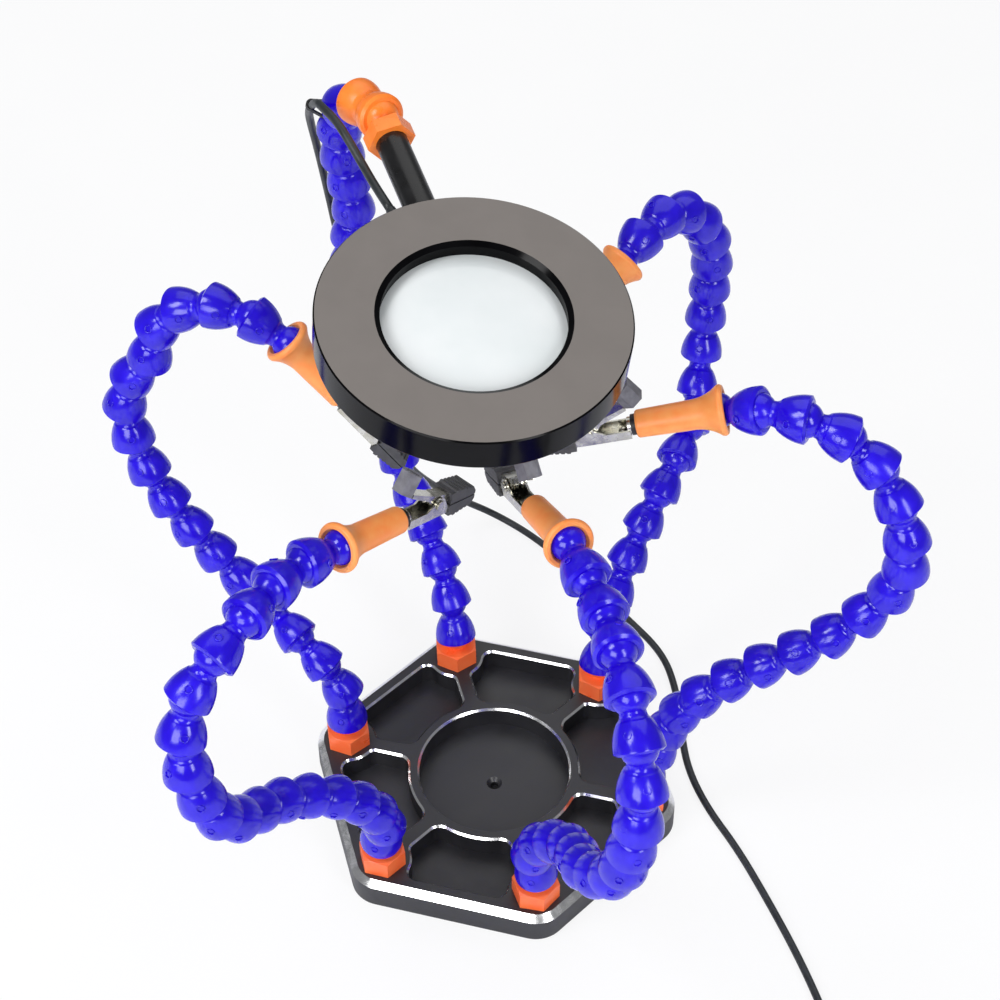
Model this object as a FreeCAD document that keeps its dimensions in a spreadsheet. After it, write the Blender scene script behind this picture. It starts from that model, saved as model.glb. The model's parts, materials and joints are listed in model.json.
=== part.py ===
"""Helping hands clamp: six jointed arms on a hexagonal base, five with crocodile clips, one with a ring lamp.

Millimetres, +Z up. The origin is the middle of the underside of the base pad, on the surface it stands on.
"""
import FreeCAD, Part

import math
import os

import Sketcher
from FreeCAD import Placement, Rotation, Vector

UP = Vector(0, 0, 1)
doc = FreeCAD.newDocument("helping_hands")

# ---------------------------------------------------------------------------------------------------------
# Driving dimensions
# ---------------------------------------------------------------------------------------------------------
SIZES = [
    ("corner_circle", 63, "radius of the circle through the six arm fittings"),
    ("corner_radius", 13, "rounding of the base at each fitting"),
    ("plate_thickness", 13.5, "height of the base plate"),
    ("plate_chamfer", 2.6, "bright bevel round the top of the base"),
    ("pocket_chamfer", 0.8, "bevel round the well and the trays"),
    ("well_radius", 31, "centre well"),
    ("well_depth", 10, "depth of the centre well"),
    ("tray_depth", 9.5, "depth of the six trays"),
    ("tray_outer", 60.6, "flat outer wall of a tray, from the middle"),
    ("tray_inner", 35.6, "round inner wall of a tray"),
    ("spoke_half", 3.4, "half the rib between two trays"),
    ("island_radius", 11.6, "land round each arm fitting"),
    ("screw_hole", 1.7, "radius of the middle screw hole"),
    ("screw_sink", 3.2, "radius of its countersink"),
    ("pad_thickness", 1, "rubber pad under the base"),
    ("pad_corner", 11, "rounding of the pad at each corner"),
    ("stub_radius", 6, "screwed stub of an arm fitting"),
    ("stub_length", 8, "its length in the base"),
    ("stub_hole", 6.05, "radius of the hole for it"),
    ("hex_flats", 16.6, "arm fitting across flats"),
    ("hex_height", 8.6, "height of its hexagon"),
    ("lamp_hex_flats", 15, "lamp fitting across flats"),
    ("lamp_hex_height", 6, "height of its hexagon"),
    ("ball_height", 14.5, "ball centre above the plate"),
    ("ball_radius", 6.45, "ball of a link"),
    ("socket_radius", 6.5, "socket of a link"),
    ("neck_radius", 4.4, "neck below the ball"),
    ("bore_radius", 3, "bore through the links"),
    ("link_radius", 8.5, "rim of a link"),
    ("link_pitch", 16.1, "from one ball centre to the next"),
    ("sleeve_length", 28, "clip sleeve beyond the last ball"),
    ("sleeve_mouth", 8.9, "radius of the flared end of the sleeve"),
    ("sleeve_end", 4.4, "radius of its narrow end"),
    ("bush_radius", 3.7, "bush in the narrow end"),
    ("tail_radius", 3, "round tail of the clip"),
    ("clip_width", 7, "clip channel"),
    ("clip_metal", 0.7, "sheet of the clip"),
    ("jaw_width", 5, "moving jaw, between the channel walls"),
    ("clip_pivot", 17, "pivot rivet, from the end of the sleeve"),
    ("rivet_radius", 1.1, "pivot rivet"),
    ("cover_width", 8.4, "rubber jaw cover"),
    ("stem_radius", 5.6, "lamp stem"),
    ("lamp_reach", 99.2, "from the last ball to the middle of the lamp"),
    ("lamp_radius", 52, "outside of the ring lamp"),
    ("lamp_half", 6.5, "half its thickness"),
    ("lamp_bore", 31, "radius of the lens opening in the housing"),
    ("lens_radius", 30.9, "magnifying lens"),
    ("cable_radius", 1.55, "lamp lead"),
]

sheet = doc.addObject("Spreadsheet::Sheet", "sizes")
for line, (alias, value, note) in enumerate(SIZES, 1):
    sheet.set("A%d" % line, note)
    sheet.set("B%d" % line, "%g" % value)
    sheet.setAlias("B%d" % line, alias)
doc.recompute()


def size(value):
    """A plain number, or the value of a cell given by its alias, with a minus in front where it is below zero."""
    if not isinstance(value, str):
        return float(value)
    if value.startswith("-"):
        return -float(getattr(sheet, value[1:]))
    return float(getattr(sheet, value))


def in_sheet(value):
    """The same value written for an expression."""
    return "-sizes." + value[1:] if value.startswith("-") else "sizes." + value


# ---------------------------------------------------------------------------------------------------------
# Sketches and features
# ---------------------------------------------------------------------------------------------------------
def new_body(label):
    return doc.addObject("PartDesign::Body", label)


def new_sketch(body, name, role, lift=0):
    """A sketch on one of the body's own origin planes, or lifted off it."""
    sketch = body.newObject("Sketcher::SketchObject", body.Name + "_" + name)
    plane = [item for item in body.Origin.OriginFeatures if item.Role == role][0]
    sketch.AttachmentSupport = (plane, [""])
    sketch.MapMode = "FlatFace"
    if isinstance(lift, str):
        sketch.AttachmentOffset = Placement(Vector(0, 0, size(lift)), Rotation())
        sketch.setExpression("AttachmentOffset.Base.z", in_sheet(lift))
    else:
        sketch.AttachmentOffset = Placement(Vector(0, 0, lift), Rotation())
    return sketch


def constrain(sketch, kind, arguments, value):
    index = sketch.addConstraint(Sketcher.Constraint(kind, *arguments, size(value)))
    if isinstance(value, str):
        sketch.setExpression("Constraints[%d]" % index, in_sheet(value))


def outline(sketch, corners):
    """A closed loop. A corner is (x, y), or (x, y, mid_x, mid_y) where an arc through the middle point leaves it."""
    places = [Vector(size(corner[0]), size(corner[1]), 0) for corner in corners]
    edges = []
    for number, corner in enumerate(corners):
        start = places[number]
        end = places[(number + 1) % len(corners)]
        if len(corner) > 2:
            middle = Vector(size(corner[2]), size(corner[3]), 0)
            edge = sketch.addGeometry(Part.Arc(start, middle, end))
            constrain(sketch, "Radius", [edge], sketch.Geometry[edge].Radius)
        else:
            edge = sketch.addGeometry(Part.LineSegment(start, end))
        edges.append(edge)
    for number, corner in enumerate(corners):
        leaving = (edges[number], end_at(sketch, edges[number], places[number]))
        arriving = (edges[number - 1], end_at(sketch, edges[number - 1], places[number]))
        sketch.addConstraint(Sketcher.Constraint("Coincident", *arriving, *leaving))
        constrain(sketch, "DistanceX", [-1, 1, *leaving], corner[0])
        constrain(sketch, "DistanceY", [-1, 1, *leaving], corner[1])


def end_at(sketch, edge, place):
    near_start = sketch.getPoint(edge, 1).distanceToPoint(place)
    near_end = sketch.getPoint(edge, 2).distanceToPoint(place)
    return 1 if near_start < near_end else 2


def circle(sketch, radius, x=0, y=0):
    edge = sketch.addGeometry(Part.Circle(Vector(size(x), size(y), 0), UP, size(radius)))
    constrain(sketch, "Radius", [edge], radius)
    constrain(sketch, "DistanceX", [-1, 1, edge, 3], x)
    constrain(sketch, "DistanceY", [-1, 1, edge, 3], y)


def turn_profile(body, name, corners, kind="Revolution"):
    """A profile given as (radius, height), turned once round the body's Z axis."""
    sketch = new_sketch(body, name + "_profile", "XZ_Plane")
    outline(sketch, corners)
    feature = body.newObject("PartDesign::" + kind, body.Name + "_" + name)
    feature.Profile = sketch
    feature.ReferenceAxis = (sketch, ["V_Axis"])
    feature.Angle = 360
    doc.recompute()
    return feature


def extrude(body, name, sketch, length, kind="Pad", symmetric=False, reverse=False):
    feature = body.newObject("PartDesign::" + kind, body.Name + "_" + name)
    feature.Profile = sketch
    feature.Length = size(length)
    if isinstance(length, str):
        feature.setExpression("Length", in_sheet(length))
    if symmetric:
        feature.SideType = "Symmetric"
    feature.Reversed = reverse
    doc.recompute()
    return feature


def polar(body, name, original, count):
    """Repeat one feature round the body's Z axis."""
    pattern = body.newObject("PartDesign::PolarPattern", body.Name + "_" + name)
    pattern.Originals = [original]
    axis = [item for item in body.Origin.OriginFeatures if item.Role == "Z_Axis"][0]
    pattern.Axis = (axis, [""])
    pattern.Angle = 360
    pattern.Occurrences = count
    body.Tip = pattern
    doc.recompute()
    return pattern


def dress(body, name, kind, value, wanted):
    """A fillet or chamfer on every edge of the tip that the test accepts."""
    base = body.Tip
    names = ["Edge%d" % number for number, edge in enumerate(base.Shape.Edges, 1) if wanted(edge)]
    feature = body.newObject("PartDesign::" + kind, body.Name + "_" + name)
    feature.Base = (base, names)
    setting = "Radius" if kind == "Fillet" else "Size"
    setattr(feature, setting, size(value))
    if isinstance(value, str):
        feature.setExpression(setting, in_sheet(value))
    body.Tip = feature
    doc.recompute()
    return feature


def lies_at(edge, height):
    return abs(edge.BoundBox.ZMin - height) < 0.01 and abs(edge.BoundBox.ZMax - height) < 0.01


def out_from_axis(edge):
    middle = edge.valueAt((edge.FirstParameter + edge.LastParameter) / 2)
    return math.hypot(middle.x, middle.y)


def copies(label, pieces):
    """One node of placed copies: a list of (master object, placement)."""
    shapes = []
    for master, placement in pieces:
        shape = master.Shape.copy()
        shape.Placement = placement.multiply(shape.Placement)
        shapes.append(shape)
    node = doc.addObject("Part::Feature", label)
    node.Shape = Part.makeCompound(shapes) if len(shapes) > 1 else shapes[0]
    nodes.append(node)
    return node


nodes = []   # every sub-part that is written out, in order

# ---------------------------------------------------------------------------------------------------------
# Base plate: one block of aluminium with a well, six trays and a tapped hole at each corner
# ---------------------------------------------------------------------------------------------------------
CORNERS = range(0, 360, 60)


def rounded_hexagon(sketch, rounding):
    """Six arcs about the arm fittings joined by their common tangents."""
    arcs = []
    lines = []
    for angle in CORNERS:
        start = math.radians(angle - 30)
        end = math.radians(angle + 30)
        centre = Vector(math.cos(math.radians(angle)), math.sin(math.radians(angle)), 0) * size("corner_circle")
        rim = Part.Circle(centre, UP, size(rounding))
        arcs.append(sketch.addGeometry(Part.ArcOfCircle(rim, start, end)))
        constrain(sketch, "Radius", [arcs[-1]], rounding)
        for axis, wave in (("DistanceX", "cos"), ("DistanceY", "sin")):
            place = centre.x if wave == "cos" else centre.y
            index = sketch.addConstraint(Sketcher.Constraint(axis, -1, 1, arcs[-1], 3, place))
            sketch.setExpression("Constraints[%d]" % index, "sizes.corner_circle * %s(%d deg)" % (wave, angle))
    for number, arc in enumerate(arcs):
        following = arcs[(number + 1) % len(arcs)]
        start = sketch.getPoint(arc, 2)
        end = sketch.getPoint(following, 1)
        lines.append(sketch.addGeometry(Part.LineSegment(start, end)))
        sketch.addConstraint(Sketcher.Constraint("Tangent", arc, 2, lines[-1], 1))
        sketch.addConstraint(Sketcher.Constraint("Tangent", lines[-1], 2, following, 1))


def tray_corners():
    """One tray between the spokes at 0 and 60 degrees, as an outline of four walls and two round lands."""
    middle = math.radians(30)
    inner = size("tray_inner")
    spoke = size("spoke_half")
    island = size("island_radius")
    fitting = size("corner_circle")
    lean = middle - math.asin(spoke / inner)
    inner_corner = Vector(inner * math.cos(lean), inner * math.sin(lean), 0)
    along = fitting - math.sqrt(island ** 2 - spoke ** 2)
    land_start = Vector(along * math.cos(middle) + spoke * math.sin(middle),
                        along * math.sin(middle) - spoke * math.cos(middle), 0)
    centre = Vector(fitting * math.cos(middle), fitting * math.sin(middle), 0)
    drop = math.sqrt(island ** 2 - (size("tray_outer") - centre.x) ** 2)
    land_end = Vector(size("tray_outer"), centre.y - drop, 0)
    land_middle = centre + ((land_start + land_end) * 0.5 - centre).normalize() * island
    upper = [inner_corner, land_start, land_middle, land_end]
    lower = [Vector(place.x, -place.y, 0) for place in upper]
    turned = Rotation(UP, 30)
    upper = [turned.multVec(place) for place in upper]
    lower = [turned.multVec(place) for place in lower]
    inner_middle = turned.multVec(Vector(inner, 0, 0))
    return [
        (lower[0].x, lower[0].y),
        (lower[1].x, lower[1].y, lower[2].x, lower[2].y),
        (lower[3].x, lower[3].y),
        (upper[3].x, upper[3].y, upper[2].x, upper[2].y),
        (upper[1].x, upper[1].y),
        (upper[0].x, upper[0].y, inner_middle.x, inner_middle.y),
    ]


plate = new_body("base_plate")
plate_outline = new_sketch(plate, "outline", "XY_Plane")
rounded_hexagon(plate_outline, "corner_radius")
extrude(plate, "block", plate_outline, "plate_thickness")
block_volume = plate.Shape.Volume

tray_outline = new_sketch(plate, "tray_outline", "XY_Plane", "plate_thickness")
outline(tray_outline, tray_corners())
tray = extrude(plate, "tray", tray_outline, "tray_depth", "Pocket")
polar(plate, "trays", tray, 6)
for radius, low, high in ((5, 34, 38), (3, 50, 54), (4, 63, 66)):
    dress(plate, "tray_corners_%d" % radius, "Fillet", radius,
          lambda edge: edge.BoundBox.ZLength > 9 and edge.BoundBox.XLength + edge.BoundBox.YLength < 0.01
          and low < out_from_axis(edge) < high)

well_outline = new_sketch(plate, "well_outline", "XY_Plane", "plate_thickness")
circle(well_outline, "well_radius")
extrude(plate, "well", well_outline, "well_depth", "Pocket")

dress(plate, "edge_bevel", "Chamfer", "plate_chamfer",
      lambda edge: lies_at(edge, size("plate_thickness")) and out_from_axis(edge) > 67)
dress(plate, "pocket_bevels", "Chamfer", "pocket_chamfer",
      lambda edge: lies_at(edge, size("plate_thickness")) and out_from_axis(edge) < 64)

stub_outline = new_sketch(plate, "stub_outline", "XY_Plane", "plate_thickness")
circle(stub_outline, "stub_hole", "corner_circle", 0)
stub_hole = extrude(plate, "stub_hole", stub_outline, "stub_length", "Pocket")
polar(plate, "stub_holes", stub_hole, 6)

well_floor = size("plate_thickness") - size("well_depth")
turn_profile(plate, "screw_hole", [
    (0, -1),
    ("screw_hole", -1),
    ("screw_hole", well_floor - size("screw_sink") + size("screw_hole")),
    ("screw_sink", well_floor),
    ("screw_sink", well_floor + 1),
    (0, well_floor + 1),
], "Groove")
print("base plate %.0f of a block of %.0f mm3" % (plate.Shape.Volume, block_volume))
plate.Placement = Placement(Vector(0, 0, size("pad_thickness")), Rotation())
nodes.append(plate)

# ---------------------------------------------------------------------------------------------------------
# Pad: a sheet of rubber glued under the plate
# ---------------------------------------------------------------------------------------------------------
pad = new_body("base_pad")
pad_outline = new_sketch(pad, "outline", "XY_Plane")
rounded_hexagon(pad_outline, "pad_corner")
extrude(pad, "sheet", pad_outline, "pad_thickness")
nodes.append(pad)

# ---------------------------------------------------------------------------------------------------------
# Arm fitting: screwed stub, hexagon and ball in one moulding, bored through
# ---------------------------------------------------------------------------------------------------------
NECK_LIFT = 0.5          # straight neck between a hexagon and the curve of the ball


def ball_and_neck(centre, foot):
    """Profile from the bore round a ball down its neck to a foot: the ball is cut off flat at its bore."""
    ball = size("ball_radius")
    flat = math.sqrt(ball ** 2 - (size("bore_radius") + 1.2) ** 2)
    throat = math.sqrt(ball ** 2 - size("neck_radius") ** 2)
    return [
        ("neck_radius", foot),
        ("neck_radius", centre - throat, "ball_radius", centre),
        (size("bore_radius") + 1.2, centre + flat),
        ("bore_radius", centre + flat),
    ]


def hexagon(sketch, flats):
    """A regular hexagon with two flats facing +X and -X."""
    corner = size(flats) / math.sqrt(3)
    outline(sketch, [(corner * math.sin(math.radians(turn)), corner * math.cos(math.radians(turn)))
                     for turn in range(0, 360, 60)])


def hex_bevel(body, height, name):
    """Takes the sharp corners off one end of a hexagon: height is that end, above or below the sketch plane."""
    flat = size("hex_flats") / 2
    step = 1.1 if height > 0 else -1.1
    turn_profile(body, name, [(flat - 0.2, height), (flat + 2.2, height), (flat + 2.2, height - step)], "Groove")


fitting = new_body("fitting_master")
fitting_hex = new_sketch(fitting, "hex", "XY_Plane")
hexagon(fitting_hex, "hex_flats")
extrude(fitting, "nut", fitting_hex, "hex_height")
hex_bevel(fitting, size("hex_height"), "bevel")
turn_profile(fitting, "ball", [
    ("bore_radius", "-stub_length"),
    ("stub_radius", "-stub_length"),
    ("stub_radius", 1),
    ("neck_radius", 1),
] + ball_and_neck(size("ball_height"), size("hex_height"))[1:])
turn_profile(fitting, "bore", [
    (0, -10), ("bore_radius", -10), ("bore_radius", 30), (0, 30),
], "Groove")

plate_top = size("pad_thickness") + size("plate_thickness")


def on_corner(angle, turn):
    """A placement on the plate at one of its corners."""
    along = Rotation(UP, angle).multVec(Vector(size("corner_circle"), 0, plate_top))
    return Placement(along, Rotation(UP, angle + turn))


copies("base_fittings", [(fitting, on_corner(angle, 9 + angle / 12)) for angle in CORNERS])

# ---------------------------------------------------------------------------------------------------------
# Arm link: a socket under a domed shoulder, a neck and a ball, bored through
# ---------------------------------------------------------------------------------------------------------
SOCKET_CUT = 1.8         # how far below its centre the socket opens


def socket_profile(height=0, up=1):
    """Inside of a socket, from its open edge to the bore, as far as the bore."""
    ball = size("socket_radius")
    opening = math.sqrt(ball ** 2 - SOCKET_CUT ** 2)
    top = math.sqrt(ball ** 2 - size("bore_radius") ** 2)
    return [
        (opening, height - up * SOCKET_CUT, "socket_radius", height),
        ("bore_radius", height + up * top),
    ]


link = new_body("link_master")
pitch = size("link_pitch")
socket = socket_profile()
ball_side = ball_and_neck(pitch, pitch - 5.4)
turn_profile(link, "shell", [
    socket[0],
    socket[1],
    ball_side[3],
    (ball_side[2][0], ball_side[2][1], "ball_radius", pitch),
    ("neck_radius", ball_side[1][1]),
    ("neck_radius", pitch - 5.4, 4.75, 9.5),
    (5.6, 8.6, 7.55, 4.6),
    ("link_radius", -0.6),
    ("link_radius", -1.0),
    (7.4, -1.8),
])

# ---------------------------------------------------------------------------------------------------------
# Clip sleeve: a soft moulding that grips the last ball and the tail of the clip
# ---------------------------------------------------------------------------------------------------------
sleeve = new_body("sleeve_master")
socket = socket_profile()
mouth = size("sleeve_mouth")
length = size("sleeve_length")
bush_depth = 3.5
turn_profile(sleeve, "tube", [
    socket[0],
    socket[1],
    ("bore_radius", 7),
    (size("tail_radius") + 0.2, 7),
    (size("tail_radius") + 0.2, length - bush_depth),
    (size("bush_radius") + 0.05, length - bush_depth),
    (size("bush_radius") + 0.05, length),
    (size("sleeve_end"), length, size("sleeve_end") + 0.35, length - 0.35),
    (size("sleeve_end") + 0.5, length - 1),
    (5.3, 9, 6.15, 3.6),
    (mouth - 0.4, -0.6, mouth, -1.9),
    (mouth - 0.7, -3.0),
    (7.0, -3.0),
])

# ---------------------------------------------------------------------------------------------------------
# Clip: folded steel jaws. X runs from the sleeve to the tip, Z to the side of the lever
# ---------------------------------------------------------------------------------------------------------
metal = size("clip_metal")
pivot = size("clip_pivot")
jaw_length = 16.5        # pivot to the tip of a jaw
pivot_height = 1.4

lower_jaw = new_body("lower_jaw_master")
lower_side = new_sketch(lower_jaw, "side", "XZ_Plane")
outline(lower_side, [
    (2.2, -3.4),
    (pivot + 3, -3.4),
    (pivot + jaw_length - 1, -2.4),
    (pivot + jaw_length, -0.7),
    (pivot + 4.5, -0.7),
    (pivot + 2.6, 2.4, pivot, 4.2),
    (pivot - 2.6, 2.4),
    (pivot - 6, 0.2),
    (2.2, 0.2),
])
extrude(lower_jaw, "channel", lower_side, "clip_width", symmetric=True)
lower_hollow = new_sketch(lower_jaw, "hollow", "XZ_Plane")
outline(lower_hollow, [
    (-1, -3.4 + metal),
    (pivot + 3, -3.4 + metal),
    (pivot + jaw_length - 2, -2.0 + metal),
    (pivot + jaw_length - 2, 6),
    (-1, 6),
])
extrude(lower_jaw, "fold", lower_hollow, size("clip_width") - 2 * metal, "Pocket", symmetric=True)
pivot_hole = new_sketch(lower_jaw, "pivot_hole", "XZ_Plane")
circle(pivot_hole, size("rivet_radius") + 0.05, "clip_pivot", pivot_height)
extrude(lower_jaw, "pivot", pivot_hole, 12, "Pocket", symmetric=True)
tail = new_sketch(lower_jaw, "tail", "YZ_Plane", -12)
circle(tail, "tail_radius")
circle(tail, size("tail_radius") - metal)
extrude(lower_jaw, "tail_tube", tail, 15)

upper_jaw = new_body("upper_jaw_master")
upper_side = new_sketch(upper_jaw, "side", "XZ_Plane")
outline(upper_side, [
    (pivot - 2.2, 0.2),
    (pivot + 3, 0.2),
    (pivot + 4.6, 0.7),
    (pivot + jaw_length, 0.7),
    (pivot + jaw_length - 1, 2.4),
    (pivot + 3, 4.2),
    (pivot - 2, 5.2),
    (2.4, 10.6),
    (1.8, 9.2),
    (pivot - 5.5, 4.4),
])
extrude(upper_jaw, "channel", upper_side, "jaw_width", symmetric=True)
upper_hollow = new_sketch(upper_jaw, "hollow", "XZ_Plane")
outline(upper_hollow, [
    (pivot - 8, 0),
    (pivot + jaw_length - 2, 0),
    (pivot + jaw_length - 2, 2.0 - metal),
    (pivot + 3, 4.2 - metal),
    (pivot - 2, 5.2 - metal),
    (1.5, 9.9),
    (1.0, 8.0),
])
extrude(upper_jaw, "fold", upper_hollow, size("jaw_width") - 2 * metal, "Pocket", symmetric=True)
upper_pivot = new_sketch(upper_jaw, "pivot_hole", "XZ_Plane")
circle(upper_pivot, size("rivet_radius") + 0.05, "clip_pivot", pivot_height)
extrude(upper_jaw, "pivot", upper_pivot, 12, "Pocket", symmetric=True)


def jaw_cover(name, side):
    """A moulded rubber cover pushed over the end of a jaw: side is 1 for the upper one and -1 for the lower."""
    cover = new_body(name)
    start = pivot + 5
    end = pivot + jaw_length + 1.5
    profile = new_sketch(cover, "side", "XZ_Plane")
    rib_count = 5
    rib_pitch = (end - start - 3) / rib_count
    corners = [(start, side * 0.25), (end, side * 0.25), (end, side * 1.6)]
    for rib in range(rib_count):
        back = end - 1.5 - rib * rib_pitch
        height = 3.1 + 0.32 * (rib + 1)
        corners.append((back, side * (height + 0.35)))
        corners.append((back - rib_pitch * 0.55, side * (height + 0.5)))
        corners.append((back - rib_pitch * 0.75, side * (height - 0.1)))
    corners.append((start, side * 4.6))
    outline(profile, corners)
    extrude(cover, "block", profile, "cover_width", symmetric=True)
    width = size("jaw_width") if side > 0 else size("clip_width")
    slot = new_sketch(cover, "slot", "XZ_Plane")
    outline(slot, [
        (start - 1, side * 0.64),
        (pivot + jaw_length + 0.05, side * 0.64),
        (pivot + jaw_length - 0.95, side * 2.46),
        (pivot + 3, side * (4.26 if side > 0 else 3.46)),
        (start - 1, side * (4.26 if side > 0 else 3.46)),
    ])
    extrude(cover, "slot_cut", slot, width + 0.1, "Pocket", symmetric=True)
    return cover


upper_cover = jaw_cover("upper_cover_master", 1)
lower_cover = jaw_cover("lower_cover_master", -1)

# Thumb cap on the lever: a hexagonal rubber sock, open at its far end
cap = new_body("cap_master")
cap_hex = new_sketch(cap, "hex", "XY_Plane")
hexagon(cap_hex, 7.4)
extrude(cap, "sock", cap_hex, 8)
cap_slot = new_sketch(cap, "slot", "XY_Plane", 8)
outline(cap_slot, [(-1.2, -2.6), (1.2, -2.6), (1.2, 2.6), (-1.2, 2.6)])
extrude(cap, "slot_cut", cap_slot, 4, "Pocket")
cap_hole = new_sketch(cap, "hole", "XY_Plane")
circle(cap_hole, 1.6)
extrude(cap, "hole_cut", cap_hole, 6, "Pocket", reverse=True)

# Small parts of the clip: pivot rivet, torsion spring, bush and cross-head screw
rivet = doc.addObject("Part::Cylinder", "rivet_shank")
rivet.setExpression("Radius", "sizes.rivet_radius")
rivet.setExpression("Height", "sizes.clip_width + 1.4")
rivet.Placement = Placement(Vector(pivot, -size("clip_width") / 2 - 0.7, pivot_height), Rotation(Vector(1, 0, 0), -90))
rivet_parts = [rivet]
for side in (-1, 1):
    head = doc.addObject("Part::Cylinder", "rivet_head")
    head.Radius = 1.9
    head.Height = 0.6
    start = size("clip_width") / 2 + 0.1 if side > 0 else -size("clip_width") / 2 - 0.7
    head.Placement = Placement(Vector(pivot, start, pivot_height), Rotation(Vector(1, 0, 0), -90))
    rivet_parts.append(head)

SPRING_WIRE = 0.3
SPRING_COIL = 1.55
for turn in (-0.7, 0, 0.7):
    coil = doc.addObject("Part::Torus", "spring_turn")
    coil.Radius1 = SPRING_COIL
    coil.Radius2 = SPRING_WIRE + 0.1
    coil.Placement = Placement(Vector(pivot, turn, pivot_height), Rotation(Vector(1, 0, 0), 90))
    rivet_parts.append(coil)
pivot_set = doc.addObject("Part::MultiFuse", "pivot_set")
pivot_set.Shapes = rivet_parts

bush = new_body("bush_master")
turn_profile(bush, "ring", [
    (size("tail_radius") + 0.05, -bush_depth + 0.1),
    ("bush_radius", -bush_depth + 0.1),
    ("bush_radius", 1.7),
    (size("tail_radius") + 0.05, 1.7),
])

screw = doc.addObject("Part::Cylinder", "screw_shank")
screw.Radius = 0.9
screw.Height = 2.4
screw.Placement = Placement(Vector(5, 0, -3.4 + metal - 1.8), Rotation())
screw_head = doc.addObject("Part::Sphere", "screw_head")
screw_head.Radius = 1.9
screw_head.Placement = Placement(Vector(5, 0, -3.4 + metal + 0.05), Rotation())
screw_block = doc.addObject("Part::Box", "screw_block")
screw_block.Length = 6
screw_block.Width = 6
screw_block.Height = 4
screw_block.Placement = Placement(Vector(2, -3, -3.4 + metal - 4), Rotation())
screw_dome = doc.addObject("Part::Cut", "screw_dome")
screw_dome.Base = screw_head
screw_dome.Tool = screw_block
doc.recompute()

# ---------------------------------------------------------------------------------------------------------
# Arms
# ---------------------------------------------------------------------------------------------------------
LINKS = 18
ball_start = plate_top + size("ball_height")

# Each arm's line in its own corner's frame: (out from the middle of the base, across, up)
ARMS = [
    ("left", 180, [(63, 0), (67, 0, 54), (79, -2, 68), (100, -12, 79), (126, -12, 114), (140, -13, 139),
                   (145, -16, 185), (133, -15, 204), (131, -15, 213), (99, -11, 236), (61, -5, 215), (34, -8, 178)]),
    ("front_left", 240, [(63, 0), (71, 7, 61), (89, 6, 87), (115, 6, 109), (141, 14, 132), (152, 15, 157),
                         (146, 11, 204), (127, 12, 218), (101, 5, 217), (71, 5, 211), (13, 2, 193)]),
    ("front_right", 300, [(63, 0), (72, -1, 60), (93, 4, 85), (117, 2, 106), (137, 5, 129), (149, 7, 161),
                          (148, 9, 198), (123, 10, 219), (97, 11, 219), (69, 8, 221), (13, 0, 202)]),
    ("right", 0, [(63, 0), (70, 2, 60), (81, -2, 88), (103, -1, 113), (126, 0, 135), (148, 4, 167),
                  (148, 0, 195), (131, 5, 226), (101, 5, 238), (74, 10, 228), (16, -5, 214)]),
    ("back_right", 60, [(63, 0), (72, 3, 55), (96, 7, 86), (115, 9, 105), (134, 17, 111), (151, 28, 135),
                        (153, 28, 170), (141, 24, 206), (118, 22, 227), (81, 15, 226), (28, 17, 200)]),
]
LAMP_ARM = ("lamp", 120, [(63, 0), (80, 3, 62), (108, 11, 90), (120, 19, 146), (130, 23, 180), (125, 21, 217),
                          (116, 26, 258), (103, 24, 283), (71, 15, 292), (-18, 10, 276)])


def joint_centres(angle, route, count):
    """Ball centres along a smooth curve through the route: each is one pitch from the last."""
    turned = Rotation(UP, angle)
    places = [(route[0][0], route[0][1], ball_start)] + route[1:]
    curve = Part.BSplineCurve()
    curve.interpolate([turned.multVec(Vector(*place)) for place in places])
    centres = [curve.value(curve.FirstParameter)]
    reached = curve.FirstParameter
    step = (curve.LastParameter - curve.FirstParameter) / 4000
    for _ in range(count):
        ahead = reached
        while ahead < curve.LastParameter and curve.value(ahead).distanceToPoint(centres[-1]) < pitch:
            ahead += step
        behind = ahead - step
        for _ in range(40):
            middle = (ahead + behind) / 2
            if curve.value(middle).distanceToPoint(centres[-1]) < pitch:
                behind = middle
            else:
                ahead = middle
        reached = ahead
        centres.append(curve.value(reached))
    tip = curve.value(curve.LastParameter)
    return centres, (tip - centres[-1]).normalize()


def aim(place, direction, spin=0):
    """A placement with its Z axis along the direction."""
    turn = Rotation(UP, direction).multiply(Rotation(UP, spin))
    return Placement(place, turn)


def bends(centres, ending):
    """Angle at each ball, from the upright fitting to the last piece."""
    runs = [UP] + [after - before for before, after in zip(centres, centres[1:])] + [ending]
    return [math.degrees(before.getAngle(after)) for before, after in zip(runs, runs[1:])]


def link_row(label, centres, first, last, extra=None):
    pieces = []
    for number in range(first, last):
        pieces.append((link, aim(centres[number], centres[number + 1] - centres[number], 37 * number)))
    return copies(label, pieces + (extra or []))


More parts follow.
